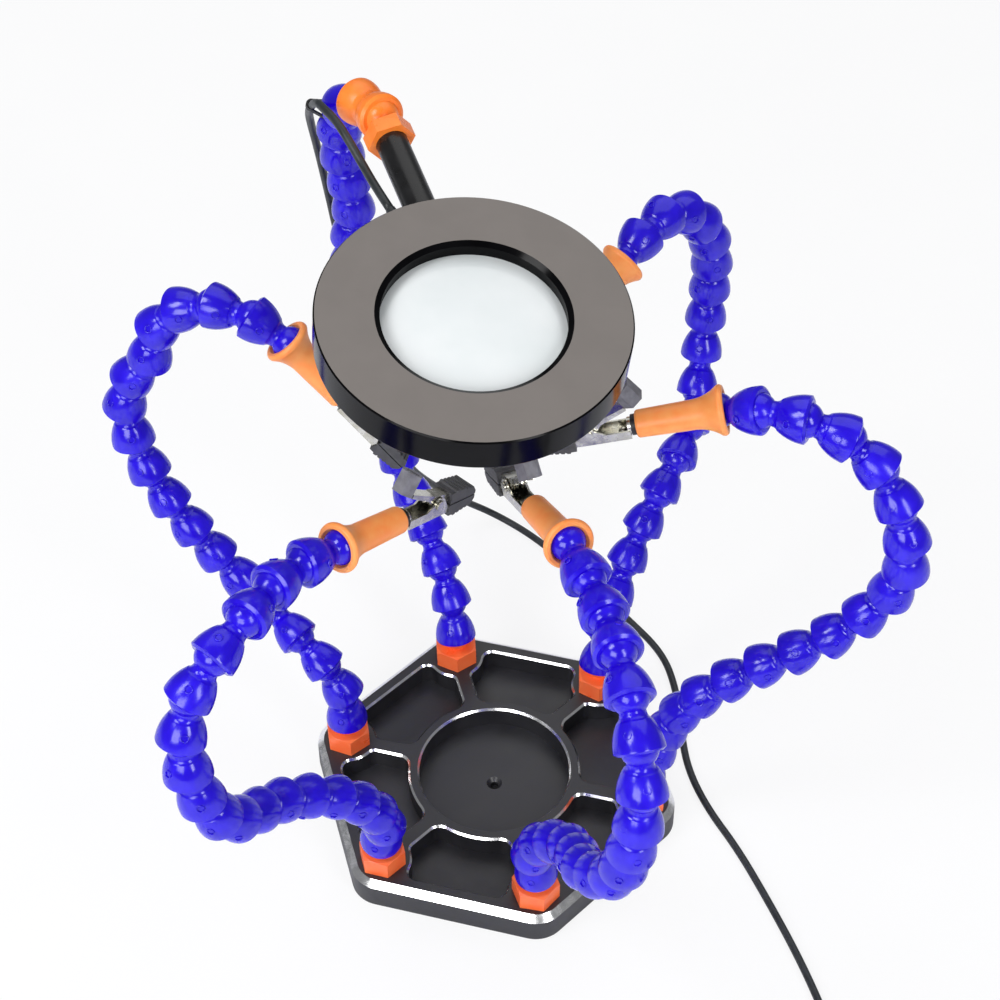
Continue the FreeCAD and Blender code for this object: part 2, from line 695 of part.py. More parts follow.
for name, angle, route in ARMS:
    centres, ending = joint_centres(angle, route, LINKS)
    print("%-12s bends %s" % (name, " ".join("%.0f" % bend for bend in bends(centres, ending))))
    print("    first %s half %s last %s aim %s" % tuple(
        [round(part, 5) for part in place] for place in (centres[0], centres[LINKS // 2], centres[-1], ending)))
    link_row(name + "_lower_links", centres, 0, LINKS // 2)
    link_row(name + "_upper_links", centres, LINKS // 2, LINKS)
    copies(name + "_sleeve", [(sleeve, aim(centres[-1], ending))])

    upward = (UP - ending * UP.dot(ending)).normalize()
    sideways = upward.cross(ending)
    clip_start = centres[-1] + ending * size("sleeve_length")
    clip_place = Placement(clip_start, Rotation(ending, sideways, upward, "XZY"))
    tail_aim = aim(clip_start, ending)
    lever = Vector(1.8 - (pivot - 5.5), 0, 9.2 - 4.4).normalize()
    lever_end = Placement(Vector(-1.3, 0, 11.6), Rotation(lever * -1, Vector(0, 1, 0), Vector(), "ZYX"))
    copies(name + "_clip_lower_jaw", [(lower_jaw, clip_place)])
    copies(name + "_clip_upper_jaw", [(upper_jaw, clip_place)])
    copies(name + "_lower_jaw_cover", [(lower_cover, clip_place)])
    copies(name + "_upper_jaw_cover", [(upper_cover, clip_place), (cap, clip_place.multiply(lever_end))])
    copies(name + "_clip_hardware", [(pivot_set, clip_place), (screw_dome, clip_place), (bush, tail_aim)])

# ---------------------------------------------------------------------------------------------------------
# Lamp arm: the same links, then a double socket and a hexagonal ball fitting on a steel stem
# ---------------------------------------------------------------------------------------------------------
double_socket = new_body("double_socket_master")
near = socket_profile(0, 1)
far = socket_profile(pitch, -1)
middle = pitch / 2
turn_profile(double_socket, "shell", [
    near[0],
    near[1],
    (far[1][0], far[1][1], "socket_radius", pitch),
    (far[0][0], far[0][1]),
    (7.4, pitch + 1.8),
    ("link_radius", pitch + 1.0),
    ("link_radius", pitch + 0.6, 7.9, pitch - 3.4),
    (6.4, middle + 1.6, 6.15, middle),
    (6.4, middle - 1.6, 7.9, 3.4),
    ("link_radius", -0.6),
    ("link_radius", -1.0),
    (7.4, -1.8),
])

name, angle, route = LAMP_ARM
centres, ending = joint_centres(angle, route, LINKS + 1)
print("%-12s bends %s" % (name, " ".join("%.0f" % bend for bend in bends(centres, ending))))
print("    first %s half %s last %s aim %s" % tuple(
    [round(part, 5) for part in place] for place in (centres[0], centres[LINKS // 2], centres[-1], ending)))
link_row("lamp_lower_links", centres, 0, LINKS // 2)
link_row("lamp_upper_links", centres, LINKS // 2, LINKS)
copies("lamp_double_socket", [(double_socket, aim(centres[LINKS], centres[LINKS + 1] - centres[LINKS]))])

# The lamp's own frame: X from its middle to the last ball, Z through the lens
lamp_middle = centres[-1] + ending * size("lamp_reach")
lamp_normal = Vector(0.118, -0.112, 0.987)
lamp_out = ending * -1
lamp_up = (lamp_normal - lamp_out * lamp_normal.dot(lamp_out)).normalize()
lamp_place = Placement(lamp_middle, Rotation(lamp_out, lamp_up.cross(lamp_out), lamp_up, "XZY"))
print("lamp middle %s up %s out %s" % tuple(
    [round(part, 5) for part in place] for place in (lamp_middle, lamp_up, lamp_out)))

HEX_START = 7.2          # hexagon of the lamp fitting, from its ball
hex_end = HEX_START + size("lamp_hex_height")
lamp_fitting = new_body("lamp_fitting_master")
lamp_hex = new_sketch(lamp_fitting, "hex", "XY_Plane", HEX_START)
hexagon(lamp_hex, "lamp_hex_flats")
extrude(lamp_fitting, "nut", lamp_hex, "lamp_hex_height")
ball = ball_and_neck(0, -HEX_START)
turn_profile(lamp_fitting, "ball", [
    ("bore_radius", -ball[3][1]),
    (ball[2][0], -ball[2][1], "ball_radius", 0),
    ("neck_radius", -ball[1][1]),
    ("neck_radius", HEX_START + 1),
    ("bore_radius", HEX_START + 1),
])
turn_profile(lamp_fitting, "bore", [
    (0, -10),
    ("bore_radius", -10),
    ("bore_radius", HEX_START + 2),
    (size("stem_radius") + 0.05, HEX_START + 2),
    (size("stem_radius") + 0.05, hex_end + 1),
    (0, hex_end + 1),
], "Groove")
copies("lamp_hex_socket", [(lamp_fitting, aim(centres[-1], ending, 12))])

stem_bar = doc.addObject("Part::Cylinder", "stem_bar")
stem_bar.setExpression("Radius", "sizes.stem_radius")
stem_bar.Height = size("lamp_reach") - HEX_START - 2.1 - size("lamp_radius") + 4
stem_bar.Placement = Placement(Vector(size("lamp_radius") - 4, 0, 0), Rotation(UP, Vector(1, 0, 0)))
stem_round = doc.addObject("Part::Cylinder", "stem_round")
stem_round.setExpression("Radius", "sizes.lamp_radius")
stem_round.Height = 30
stem_round.Placement = Placement(Vector(0, 0, -15), Rotation())
stem_cut = doc.addObject("Part::Cut", "stem_cut")
stem_cut.Base = stem_bar
stem_cut.Tool = stem_round
doc.recompute()
copies("lamp_stem", [(stem_cut, lamp_place)])

# Lamp head, turned about its own Z axis: housing, top cover, lens and its ring, LED board and diffuser
half = size("lamp_half")
wall = 2
web_low = 0.8
web_high = 2.2
cover_seat = half - 1.2
housing = new_body("housing_master")
turn_profile(housing, "channel", [
    ("lamp_bore", -half),
    (size("lamp_bore") + wall, -half),
    (size("lamp_bore") + wall, web_low),
    (size("lamp_radius") - wall, web_low),
    (size("lamp_radius") - wall, -half),
    (size("lamp_radius") - 0.8, -half, size("lamp_radius") - 0.25, 0.25 - half),
    ("lamp_radius", 0.8 - half),
    ("lamp_radius", cover_seat),
    (size("lamp_radius") - wall, cover_seat),
    (size("lamp_radius") - wall, web_high),
    (size("lamp_bore") + wall, web_high),
    (size("lamp_bore") + wall, cover_seat),
    ("lamp_bore", cover_seat),
])
copies("lamp_housing", [(housing, lamp_place)])

top_cover = new_body("top_cover_master")
turn_profile(top_cover, "plate", [
    (30.5, cover_seat),
    (size("lamp_radius"), cover_seat),
    (size("lamp_radius"), half - 0.5),
    (size("lamp_radius") - 0.5, half),
    (32.3, half),
])
copies("lamp_top_cover", [(top_cover, lamp_place)])

lens = new_body("lens_master")
LENS_EDGE = 0.8          # half the thickness of the glass at its rim
LENS_CROWN = 3.2         # half the thickness at its middle
lens_rise = LENS_CROWN - LENS_EDGE
lens_curve = (size("lens_radius") ** 2 + lens_rise ** 2) / (2 * lens_rise)
half_out = size("lens_radius") / 2
half_drop = lens_curve - math.sqrt(lens_curve ** 2 - half_out ** 2)
turn_profile(lens, "glass", [
    (0, -LENS_CROWN, half_out, half_drop - LENS_CROWN),
    ("lens_radius", -LENS_EDGE),
    ("lens_radius", LENS_EDGE, half_out, LENS_CROWN - half_drop),
    (0, LENS_CROWN),
])
copies("lamp_lens", [(lens, lamp_place)])

lens_ring = new_body("lens_ring_master")
turn_profile(lens_ring, "ring", [
    (29.4, -3.6),
    (size("lamp_bore") - 0.1, -3.6),
    (size("lamp_bore") - 0.1, -0.9),
    (29.4, -1.25),
])
copies("lamp_lens_ring", [(lens_ring, lamp_place)])

board = new_body("board_master")
board_outline = new_sketch(board, "outline", "XY_Plane", web_low - 1.6)
circle(board_outline, 49.6)
circle(board_outline, 33.4)
extrude(board, "plate", board_outline, 1.6)
chip_outline = new_sketch(board, "chip_outline", "XY_Plane", web_low - 1.6)
outline(chip_outline, [(40, -1.4), (43.5, -1.4), (43.5, 1.4), (40, 1.4)])
chip = extrude(board, "chip", chip_outline, 0.8, reverse=True)
polar(board, "chips", chip, 30)
copies("lamp_led_board", [(board, lamp_place)])

diffuser = new_body("diffuser_master")
turn_profile(diffuser, "window", [
    (size("lamp_bore") + wall + 0.05, -half + 0.4),
    (size("lamp_radius") - wall - 0.05, -half + 0.4),
    (size("lamp_radius") - wall - 0.05, -half + 1.9),
    (size("lamp_bore") + wall + 0.05, -half + 1.9),
])
copies("lamp_diffuser", [(diffuser, lamp_place)])

# ---------------------------------------------------------------------------------------------------------
# Lead: out of a gland beside the stem, tied to the lamp arm twice, then along the floor to its plug
# ---------------------------------------------------------------------------------------------------------
GLAND_TURN = 8.5         # degrees round the lamp from its stem
GLAND_LENGTH = 8
gland = new_body("gland_master")
turn_profile(gland, "boot", [
    (0, 0),
    (2.4, 0),
    (2.4, 1.2),
    (2.2, 2.0),
    (1.75, GLAND_LENGTH),
    (0, GLAND_LENGTH),
])
gland_aim = Rotation(lamp_up, GLAND_TURN).multVec(lamp_out)
gland_foot = lamp_middle + gland_aim * (size("lamp_radius") + 0.05) - lamp_up * 3.4
copies("lead_gland", [(gland, aim(gland_foot, gland_aim))])
gland_end = gland_foot + gland_aim * (GLAND_LENGTH + 0.02)
print("gland end %s aim %s" % tuple([round(part, 2) for part in place] for place in (gland_end, gland_aim)))


def tube(label, route):
    """Straight runs joined by tangent arcs, swept with the round section of the lead."""
    places = [place if isinstance(place, Vector) else Vector(*place) for place in route]
    edges = []
    radii = []
    start = places[0]
    for before, corner, after in zip(places, places[1:], places[2:]):
        arriving = corner - before
        leaving = after - corner
        turn = arriving.getAngle(leaving)
        reach = 0.45 * min(arriving.Length, leaving.Length)
        radius = reach / math.tan(turn / 2)
        radii.append(radius)
        inward = Vector(arriving).normalize()
        outward = Vector(leaving).normalize()
        arc_start = corner - inward * reach
        arc_end = corner + outward * reach
        bulge = (outward - inward).normalize()
        arc_middle = corner + bulge * (radius / math.cos(turn / 2) - radius)
        edges.append(Part.LineSegment(start, arc_start).toShape())
        edges.append(Part.Arc(arc_start, arc_middle, arc_end).toShape())
        start = arc_end
    edges.append(Part.LineSegment(start, places[-1]).toShape())
    path = Part.Wire(edges)
    ring = Part.Wire(Part.Circle(places[0], places[1] - places[0], size("cable_radius")).toShape())
    node = doc.addObject("Part::Feature", label)
    node.Shape = path.makePipeShell([ring], True, False)
    nodes.append(node)
    section = math.pi * size("cable_radius") ** 2
    print("%-12s length %.0f, volume %.4f of section times length, radii %s" % (
        label, path.Length, node.Shape.Volume / (section * path.Length), " ".join("%.0f" % item for item in radii)))
    runs = [(after - before).Length for before, after in zip(places, places[1:])]
    print("    runs %s" % " ".join("%.0f" % run for run in runs))
    return path.Length


TOP_TIE = (-86, 76, 280)
LOW_TIE = (-76, 103, 117)
FLOOR = 1.6
LEAD_TOP = [gland_end, gland_end + gland_aim * 11, (-56, 42, 284), (-62, 47, 289), (-69, 54, 292), (-76, 61, 291),
            (-81, 67, 289), TOP_TIE]
LEAD_ARM = [TOP_TIE, (-91, 85, 271), (-94, 94, 258), (-95, 101, 243), (-95, 106, 226), (-95, 111, 208),
            (-93, 113, 185), (-88, 110, 162), (-81, 105, 138), LOW_TIE]
LEAD_FALL = [LOW_TIE, (-71, 101, 96), (-67, 106, 72), (-62, 123, 45), (-54, 140, 20), (-40, 152, FLOOR),
             (-16, 141, FLOOR), (9, 123, FLOOR), (33, 105, FLOOR), (53, 89, FLOOR), (63, 70, FLOOR),
             (69, 50, FLOOR), (76, 30, FLOOR), (88, 12, FLOOR), (104, -5, FLOOR), (120, -26, FLOOR),
             (135, -47, FLOOR), (147, -66, FLOOR), (158, -86, FLOOR), (168, -106, FLOOR)]
total = tube("lead_top", LEAD_TOP) + tube("lead_arm", LEAD_ARM) + tube("lead_fall", LEAD_FALL)

# The rest is wound up: a ring of turns as one solid of their outer shape
COIL_MEAN = 18.5
COIL_BAND = 4.7
COIL_HEIGHT = 9.4
coil = new_body("coil_master")
turn_profile(coil, "band", [
    (COIL_MEAN - COIL_BAND, 0.6),
    (COIL_MEAN - COIL_BAND + 0.6, 0),
    (COIL_MEAN + COIL_BAND - 0.6, 0),
    (COIL_MEAN + COIL_BAND, 0.6),
    (COIL_MEAN + COIL_BAND, COIL_HEIGHT - 0.6),
    (COIL_MEAN + COIL_BAND - 0.6, COIL_HEIGHT),
    (COIL_MEAN - COIL_BAND + 0.6, COIL_HEIGHT),
    (COIL_MEAN - COIL_BAND, COIL_HEIGHT - 0.6),
])
lead_aim = (Vector(*LEAD_FALL[-1]) - Vector(*LEAD_FALL[-2])).normalize()
coil_side = UP.cross(lead_aim)
coil_middle = Vector(*LEAD_FALL[-1]) + coil_side * (COIL_MEAN + COIL_BAND + size("cable_radius") + 0.2)
copies("lead_coil", [(coil, Placement(Vector(coil_middle.x, coil_middle.y, 0.05), Rotation()))])

BOOT_LENGTH = 13
plug = new_body("plug_master")
plug_side = new_sketch(plug, "side", "XY_Plane")
outline(plug_side, [(0, -6), (19, -6), (19, 6), (0, 6)])
extrude(plug, "grip", plug_side, 7)
plug_shell = new_sketch(plug, "shell", "YZ_Plane", 19)
outline(plug_shell, [(-6, 1.25), (6, 1.25), (6, 5.75), (-6, 5.75)])
outline(plug_shell, [(-5.6, 1.65), (5.6, 1.65), (5.6, 5.35), (-5.6, 5.35)])
extrude(plug, "shell", plug_shell, 12)
plug_tongue = new_sketch(plug, "tongue", "YZ_Plane", 19)
outline(plug_tongue, [(-5.4, 3.3), (5.4, 3.3), (5.4, 5.2), (-5.4, 5.2)])
extrude(plug, "tongue", plug_tongue, 11)
plug_boot = new_sketch(plug, "boot", "YZ_Plane")
circle(plug_boot, 2.3, 0, 3.5)
extrude(plug, "boot", plug_boot, BOOT_LENGTH, reverse=True)

# The plug lies beside the coil: its boot leaves the outer turn along a tangent
PLUG_ANGLE = 250
plug_spoke = Rotation(UP, PLUG_ANGLE).multVec(Vector(COIL_MEAN + COIL_BAND + 2.8, 0, 0))
plug_aim = Rotation(UP, PLUG_ANGLE + 90)
plug_foot = Vector(coil_middle.x, coil_middle.y, 0.05) + plug_spoke + plug_aim.multVec(Vector(BOOT_LENGTH, 0, 0))
copies("usb_plug", [(plug, Placement(plug_foot, plug_aim))])
print("lead outside its coil %.0f mm" % total)

# ---------------------------------------------------------------------------------------------------------
# Checks and files
# ---------------------------------------------------------------------------------------------------------
doc.recompute()
for item in doc.Objects:
    if "Invalid" in item.State or "Error" in item.State:
        raise RuntimeError("%s did not build" % item.Label)
for node in nodes:
    if node.Shape.isNull() or not node.Shape.isValid() or not node.Shape.Solids:
        raise RuntimeError("%s has no sound solid" % node.Label)

os.makedirs("parts", exist_ok=True)
for node in nodes:
    node.Shape.exportStep("parts/%s.step" % node.Label)
print("%d nodes" % len(nodes))
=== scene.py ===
import json
import math

import bmesh
import bpy
import numpy as np
from mathutils import Matrix, Vector


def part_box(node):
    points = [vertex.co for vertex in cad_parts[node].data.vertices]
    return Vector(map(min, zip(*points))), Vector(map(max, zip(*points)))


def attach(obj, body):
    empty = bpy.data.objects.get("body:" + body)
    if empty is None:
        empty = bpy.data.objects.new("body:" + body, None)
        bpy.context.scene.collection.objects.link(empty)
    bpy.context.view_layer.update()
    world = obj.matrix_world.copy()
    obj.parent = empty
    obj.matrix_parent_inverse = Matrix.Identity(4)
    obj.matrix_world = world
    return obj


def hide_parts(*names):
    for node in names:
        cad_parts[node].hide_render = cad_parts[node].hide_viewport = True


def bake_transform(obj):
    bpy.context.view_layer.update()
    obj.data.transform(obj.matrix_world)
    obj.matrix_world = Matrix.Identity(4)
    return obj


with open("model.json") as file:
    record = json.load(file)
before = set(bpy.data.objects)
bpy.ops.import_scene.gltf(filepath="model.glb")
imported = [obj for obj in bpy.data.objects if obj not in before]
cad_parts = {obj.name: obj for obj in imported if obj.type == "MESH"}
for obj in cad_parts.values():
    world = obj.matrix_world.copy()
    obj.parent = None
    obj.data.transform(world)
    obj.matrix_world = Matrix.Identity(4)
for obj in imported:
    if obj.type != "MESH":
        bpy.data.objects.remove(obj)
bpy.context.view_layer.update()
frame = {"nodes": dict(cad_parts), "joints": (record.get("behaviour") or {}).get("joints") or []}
nodes = frame["nodes"]
joints = {joint["name"]: joint for joint in frame["joints"]}
ARMS = ("left", "front_left", "front_right", "right", "back_right")
MM = 0.001

# -------------------------------------------------------------------------------------------------------
# Base plate. A block of 6082 aluminium milled with a well and six trays, bead blasted and anodised
# black; its bevels are cut again afterwards with a diamond tool, so they are bare bright metal.
# -------------------------------------------------------------------------------------------------------


def linear(colour):
    """An sRGB hex value as the linear colour that a shader takes."""
    parts = [int(colour[start:start + 2], 16) / 255 for start in (1, 3, 5)]
    return [part / 12.92 if part <= 0.04045 else ((part + 0.055) / 1.055) ** 2.4 for part in parts] + [1]


def node(tree, kind, links=None, **settings):
    """Adds a node: settings are its properties, links its input sockets as values or other nodes' outputs."""
    made = tree.nodes.new("ShaderNode" + kind)
    for name, value in settings.items():
        setattr(made, name, value)
    for name, value in (links or {}).items():
        socket = made.inputs[name]
        if isinstance(value, bpy.types.NodeSocket):
            tree.links.new(value, socket)
        else:
            socket.default_value = value
    return made


def new_material(name, roughness, metallic=0.0, **sockets):
    """A material with its shader's plain values set; the section that asks for it adds its pattern."""
    material = bpy.data.materials.new(name)
    material.use_nodes = True
    shader = material.node_tree.nodes["Principled BSDF"]
    shader.inputs["Roughness"].default_value = roughness
    shader.inputs["Metallic"].default_value = metallic
    for socket, value in sockets.items():
        shader.inputs[socket.replace("_", " ")].default_value = value
    place = node(material.node_tree, "TexCoord").outputs["Object"]
    return material, material.node_tree, shader, place


def wash(tree, shader, place, size_mm, first, second, low=0.35, high=0.65):
    """Two near colours that drift into each other over patches of one size."""
    patches = node(tree, "TexNoise", {"Vector": place, "Scale": 1 / (size_mm * MM), "Detail": 3.0})
    ramp = node(tree, "ValToRGB", {"Fac": patches.outputs["Fac"]})
    ramp.color_ramp.elements[0].position = low
    ramp.color_ramp.elements[0].color = linear(first)
    ramp.color_ramp.elements[1].position = high
    ramp.color_ramp.elements[1].color = linear(second)
    tree.links.new(ramp.outputs["Color"], shader.inputs["Base Color"])
    return patches


def relief(tree, shader, place, size_mm, depth_mm, strength=1.0, detail=2.0):
    """A fine unevenness of one grain size, as bump."""
    grains = node(tree, "TexNoise", {"Vector": place, "Scale": 1 / (size_mm * MM), "Detail": detail})
    bump = node(tree, "Bump", {"Height": grains.outputs["Fac"], "Distance": depth_mm * MM,
                               "Strength": strength})
    tree.links.new(bump.outputs["Normal"], shader.inputs["Normal"])
    return bump


def rough_range(tree, shader, source, low, high):
    """Lets the roughness follow a pattern between two values."""
    spread = node(tree, "MapRange", {"Value": source, "From Min": 0.3, "From Max": 0.7,
                                     "To Min": low, "To Max": high})
    tree.links.new(spread.outputs["Result"], shader.inputs["Roughness"])


def paint(name, *materials):
    """Gives a CAD node its materials."""
    target = nodes[name]
    target.data.materials.clear()
    for material in materials:
        target.data.materials.append(material)
    return target


# Blasting leaves a fine even grain, which anodising keeps: a deep satin black
anodised, tree, shader, place = new_material("black_anodised_aluminium", 0.42, IOR=1.6)
shade = wash(tree, shader, place, 9, "#1C1C20", "#232328")
rough_range(tree, shader, shade.outputs["Fac"], 0.36, 0.48)
relief(tree, shader, place, 0.35, 0.02, 0.5)

# A diamond cut is almost a mirror, with faint lines from the tool
bright_cut, tree, shader, place = new_material("diamond_cut_aluminium", 0.2, 1.0)
shade = wash(tree, shader, place, 4, "#F2F3F5", "#FFFFFF")
rough_range(tree, shader, shade.outputs["Fac"], 0.14, 0.28)

BEVEL_DEPTH = 2.7 * MM
plate = paint("base_plate", anodised, bright_cut)
plate_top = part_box("base_plate")[1].z
for face in plate.data.polygons:
    if 0.5 < face.normal.z < 0.9 and face.center.z > plate_top - BEVEL_DEPTH:
        face.material_index = 1

# -------------------------------------------------------------------------------------------------------
# Pad. A sheet of black rubber under the plate, cut with a knife.
# -------------------------------------------------------------------------------------------------------
# Calendered rubber has no gloss
pad_rubber, tree, shader, place = new_material("sheet_rubber", 0.85)
wash(tree, shader, place, 3, "#141416", "#1B1B1D")
relief(tree, shader, place, 0.6, 0.05)
paint("base_pad", pad_rubber)

# -------------------------------------------------------------------------------------------------------
# Arm fittings. Acetal mouldings, screwed into the plate by their hexagons.
# -------------------------------------------------------------------------------------------------------


def acetal(name, dark, light, roughness):
    """Moulded acetal: waxy, a little translucent, with the soft gloss of its mould."""
    material, tree, shader, place = new_material(
        name, roughness, IOR=1.5, Subsurface_Weight=0.06, Subsurface_Scale=1.0 * MM)
    shader.inputs["Subsurface Radius"].default_value = (1.0, 0.5, 0.4)
    shade = wash(tree, shader, place, 7, dark, light)
    rough_range(tree, shader, shade.outputs["Fac"], roughness - 0.05, roughness + 0.07)
    relief(tree, shader, place, 2.2, 0.05, 0.35)
    return material


orange = acetal("orange_acetal", "#FF6A34", "#FF7842", 0.32)
paint("base_fittings", orange)

# -------------------------------------------------------------------------------------------------------
# Links. Ultramarine acetal ball-and-socket segments snapped together; each shoulder carries a small
# raised ring from the mould's ejector. The rings are pieces of their own on the links' shoulders.
# -------------------------------------------------------------------------------------------------------
blue = acetal("blue_acetal", "#1E04C2", "#250AD6", 0.18)
MARK_RADIUS = 1.25 * MM
MARK_WIRE = 0.28 * MM
MARK_HEIGHT = 5.0 * MM           # up the shoulder from the centre of the socket
SHOULDER = 7.45 * MM             # radius of the shoulder there
SHOULDER_LEAN = math.radians(24)
LINK_LENGTH = 22.8 * MM
SOCKET_DEPTH = 1.8 * MM          # from the rim to the centre of the socket
MARK_STEPS = 20
MARK_TURN = 2.4                  # each link is snapped on turned a little from the one below


def separate_solids(target):
    """The corner points of each separate solid in a node."""
    mesh = bmesh.new()
    mesh.from_mesh(target.data)
    bmesh.ops.remove_doubles(mesh, verts=mesh.verts, dist=0.002 * MM)
    seen = set()
    solids = []
    for vertex in mesh.verts:
        if vertex in seen:
            continue
        waiting = [vertex]
        seen.add(vertex)
        points = []
        while waiting:
            current = waiting.pop()
            points.append(current.co.copy())
            for edge in current.link_edges:
                other = edge.other_vert(current)
                if other not in seen:
                    seen.add(other)
                    waiting.append(other)
        solids.append(np.array(points))
    mesh.free()
    return solids


def link_axis(points):
    """Socket centre and direction of a link: it is round about one axis, and widest at its socket."""
    middle = (points.min(0) + points.max(0)) / 2
    spread = np.cov((points - points.mean(0)).T)
    values, vectors = np.linalg.eigh(spread)
    best = None
    for column in range(3):
        axis = vectors[:, column]
        along = (points - middle) @ axis
        error = abs(along.max() - along.min() - LINK_LENGTH)
        if best is None or error < best[0]:
            best = (error, axis, along)
    axis, along = best[1], best[2]
    out = np.linalg.norm((points - points.mean(0)) - np.outer((points - points.mean(0)) @ axis, axis), axis=1)
    if along[out.argmax()] > (along.max() + along.min()) / 2:
        axis = -axis
        along = -along
    centre = points.mean(0) - axis * ((points.mean(0) - middle) @ axis)
    start = centre + axis * (along.min() + SOCKET_DEPTH)
    return Vector(start), Vector(axis)


def finish_piece(name, mesh, material, body, smooth=True):
    """A mesh made into a piece that rides on a body and takes a slot's finish."""
    data = bpy.data.meshes.new(name)
    mesh.to_mesh(data)
    mesh.free()
    data.materials.append(material)
    if smooth:
        data.shade_smooth()
    piece = bpy.data.objects.new(name, data)
    bpy.context.scene.collection.objects.link(piece)
    if body:
        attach(piece, body)
    return piece


def add_tube(mesh, points, radius, sides=10, closed=False):
    """Adds a round tube along points to a mesh, with flat ends unless it is closed."""
    points = [Vector(point) for point in points]
    count = len(points)
    rings = []
    across = None
    for number, point in enumerate(points):
        before = points[number - 1] if number or closed else point
        after = points[(number + 1) % count] if number < count - 1 or closed else point
        along = (after - before).normalized()
        if across is None:
            across = along.orthogonal().normalized()
        across = (across - along * across.dot(along)).normalized()
        other = along.cross(across)
        ring = []
        for side in range(sides):
            angle = 2 * math.pi * side / sides
            ring.append(mesh.verts.new(point + (across * math.cos(angle) + other * math.sin(angle)) * radius))
        rings.append(ring)
    pairs = list(zip(rings, rings[1:]))
    if closed:
        pairs.append((rings[-1], rings[0]))
    for lower, upper in pairs:
        shift = 0
        if closed and upper is rings[0]:
            gaps = [(upper[turn].co - lower[0].co).length for turn in range(sides)]
            shift = gaps.index(min(gaps))
        for side in range(sides):
            following = (side + 1) % sides
            mesh.faces.new((lower[side], lower[following],
                            upper[(following + shift) % sides], upper[(side + shift) % sides]))
    if not closed:
        mesh.faces.new(list(reversed(rings[0])))
        mesh.faces.new(rings[-1])


def add_marks(body, name):
    """Raised rings on the shoulders of the links of one node, all on the side that the mould marks."""
    mesh = bmesh.new()
    for number, points in enumerate(separate_solids(nodes[name])):
        start, axis = link_axis(points)
        side = Vector((math.sin(MARK_TURN * number), -1.6, 0.7))
        out = (side - axis * side.dot(axis)).normalized()
        normal = (out * math.cos(SHOULDER_LEAN) + axis * math.sin(SHOULDER_LEAN)).normalized()
        middle = start + axis * MARK_HEIGHT + out * SHOULDER
        first = axis.cross(out).normalized()
        second = normal.cross(first)
        ring = []
        for step in range(MARK_STEPS):
            angle = 2 * math.pi * step / MARK_STEPS
            ring.append(middle + (first * math.cos(angle) + second * math.sin(angle)) * MARK_RADIUS)
        add_tube(mesh, ring, MARK_WIRE, 6, closed=True)
    finish_piece(name + "_marks", mesh, blue, body)


for arm in ARMS + ("lamp",):
    for part in ("lower", "upper"):
        paint("%s_%s_links" % (arm, part), blue)
        add_marks("%s_%s_arm" % (arm, part), "%s_%s_links" % (arm, part))

# -------------------------------------------------------------------------------------------------------
# Clip sleeves. Soft orange PVC, dip moulded, flared over the last ball; light passes a little way in.
# -------------------------------------------------------------------------------------------------------
# Dipped vinyl is soft and satin, and light spreads a little inside it
sleeve_vinyl, tree, shader, place = new_material(
    "orange_vinyl", 0.42, IOR=1.52, Subsurface_Weight=0.25, Subsurface_Scale=2.5 * MM)
shader.inputs["Subsurface Radius"].default_value = (1.0, 0.45, 0.25)
shade = wash(tree, shader, place, 6, "#FF9448", "#FFA258")
rough_range(tree, shader, shade.outputs["Fac"], 0.36, 0.5)
relief(tree, shader, place, 1.1, 0.03, 0.4)
for arm in ARMS:
    paint(arm + "_sleeve", sleeve_vinyl)

# -------------------------------------------------------------------------------------------------------
# Clips. Stamped spring steel, folded and nickel plated.
# -------------------------------------------------------------------------------------------------------
# Nickel plating keeps the marks of the press tools: bright, a little warm and uneven
nickel, tree, shader, place = new_material("nickel_plated_steel", 0.24, 1.0)
shade = wash(tree, shader, place, 5, "#B9B6A8", "#D8D7CF")
rough_range(tree, shader, shade.outputs["Fac"], 0.16, 0.34)
relief(tree, shader, place, 0.8, 0.02, 0.35)

for arm in ARMS:
    paint(arm + "_clip_lower_jaw", nickel)
    paint(arm + "_clip_upper_jaw", nickel)

# -------------------------------------------------------------------------------------------------------
# Small clip parts. A black nylon bush in the sleeve, a steel rivet and screw, and a torsion spring of
# music wire wound three times round the rivet, with a leg to each jaw.
# -------------------------------------------------------------------------------------------------------
# Moulded nylon is dull black
bush_nylon, tree, shader, place = new_material("black_nylon", 0.45)
wash(tree, shader, place, 4, "#141416", "#202024")
relief(tree, shader, place, 0.5, 0.02, 0.5)
# Drawn wire is smooth and slightly straw coloured from its heat treatment
spring_steel, tree, shader, place = new_material("music_wire", 0.22, 1.0)
wash(tree, shader, place, 2, "#8F8B80", "#C4C0B2")
relief(tree, shader, place, 0.4, 0.01, 0.4)

BUSH_INSIDE = 2.9 * MM           # the clip's tail is inside this radius
BUSH_REACH = 1.8 * MM            # how far the bush stands out of the sleeve
SPRING_WIRE = 0.28 * MM
SPRING_COIL = 1.62 * MM
SPRING_WIDTH = 2.2 * MM
SPRING_TURNS = 3
SPRING_STEPS = 16                # points on each turn
LEG = 7 * MM


def clip_frame(arm):
    """End of the sleeve, the clip's forward direction, its lever side and its left side."""
    spin = joints[arm + "_clip_spin"]
    swing = joints[arm + "_jaw_open"]
    start = Vector(spin["pos_m"])
    forward = Vector(spin["axis"]).normalized()
    side = -Vector(swing["axis"]).normalized()
    return start, forward, forward.cross(side).normalized(), side, Vector(swing["pos_m"])


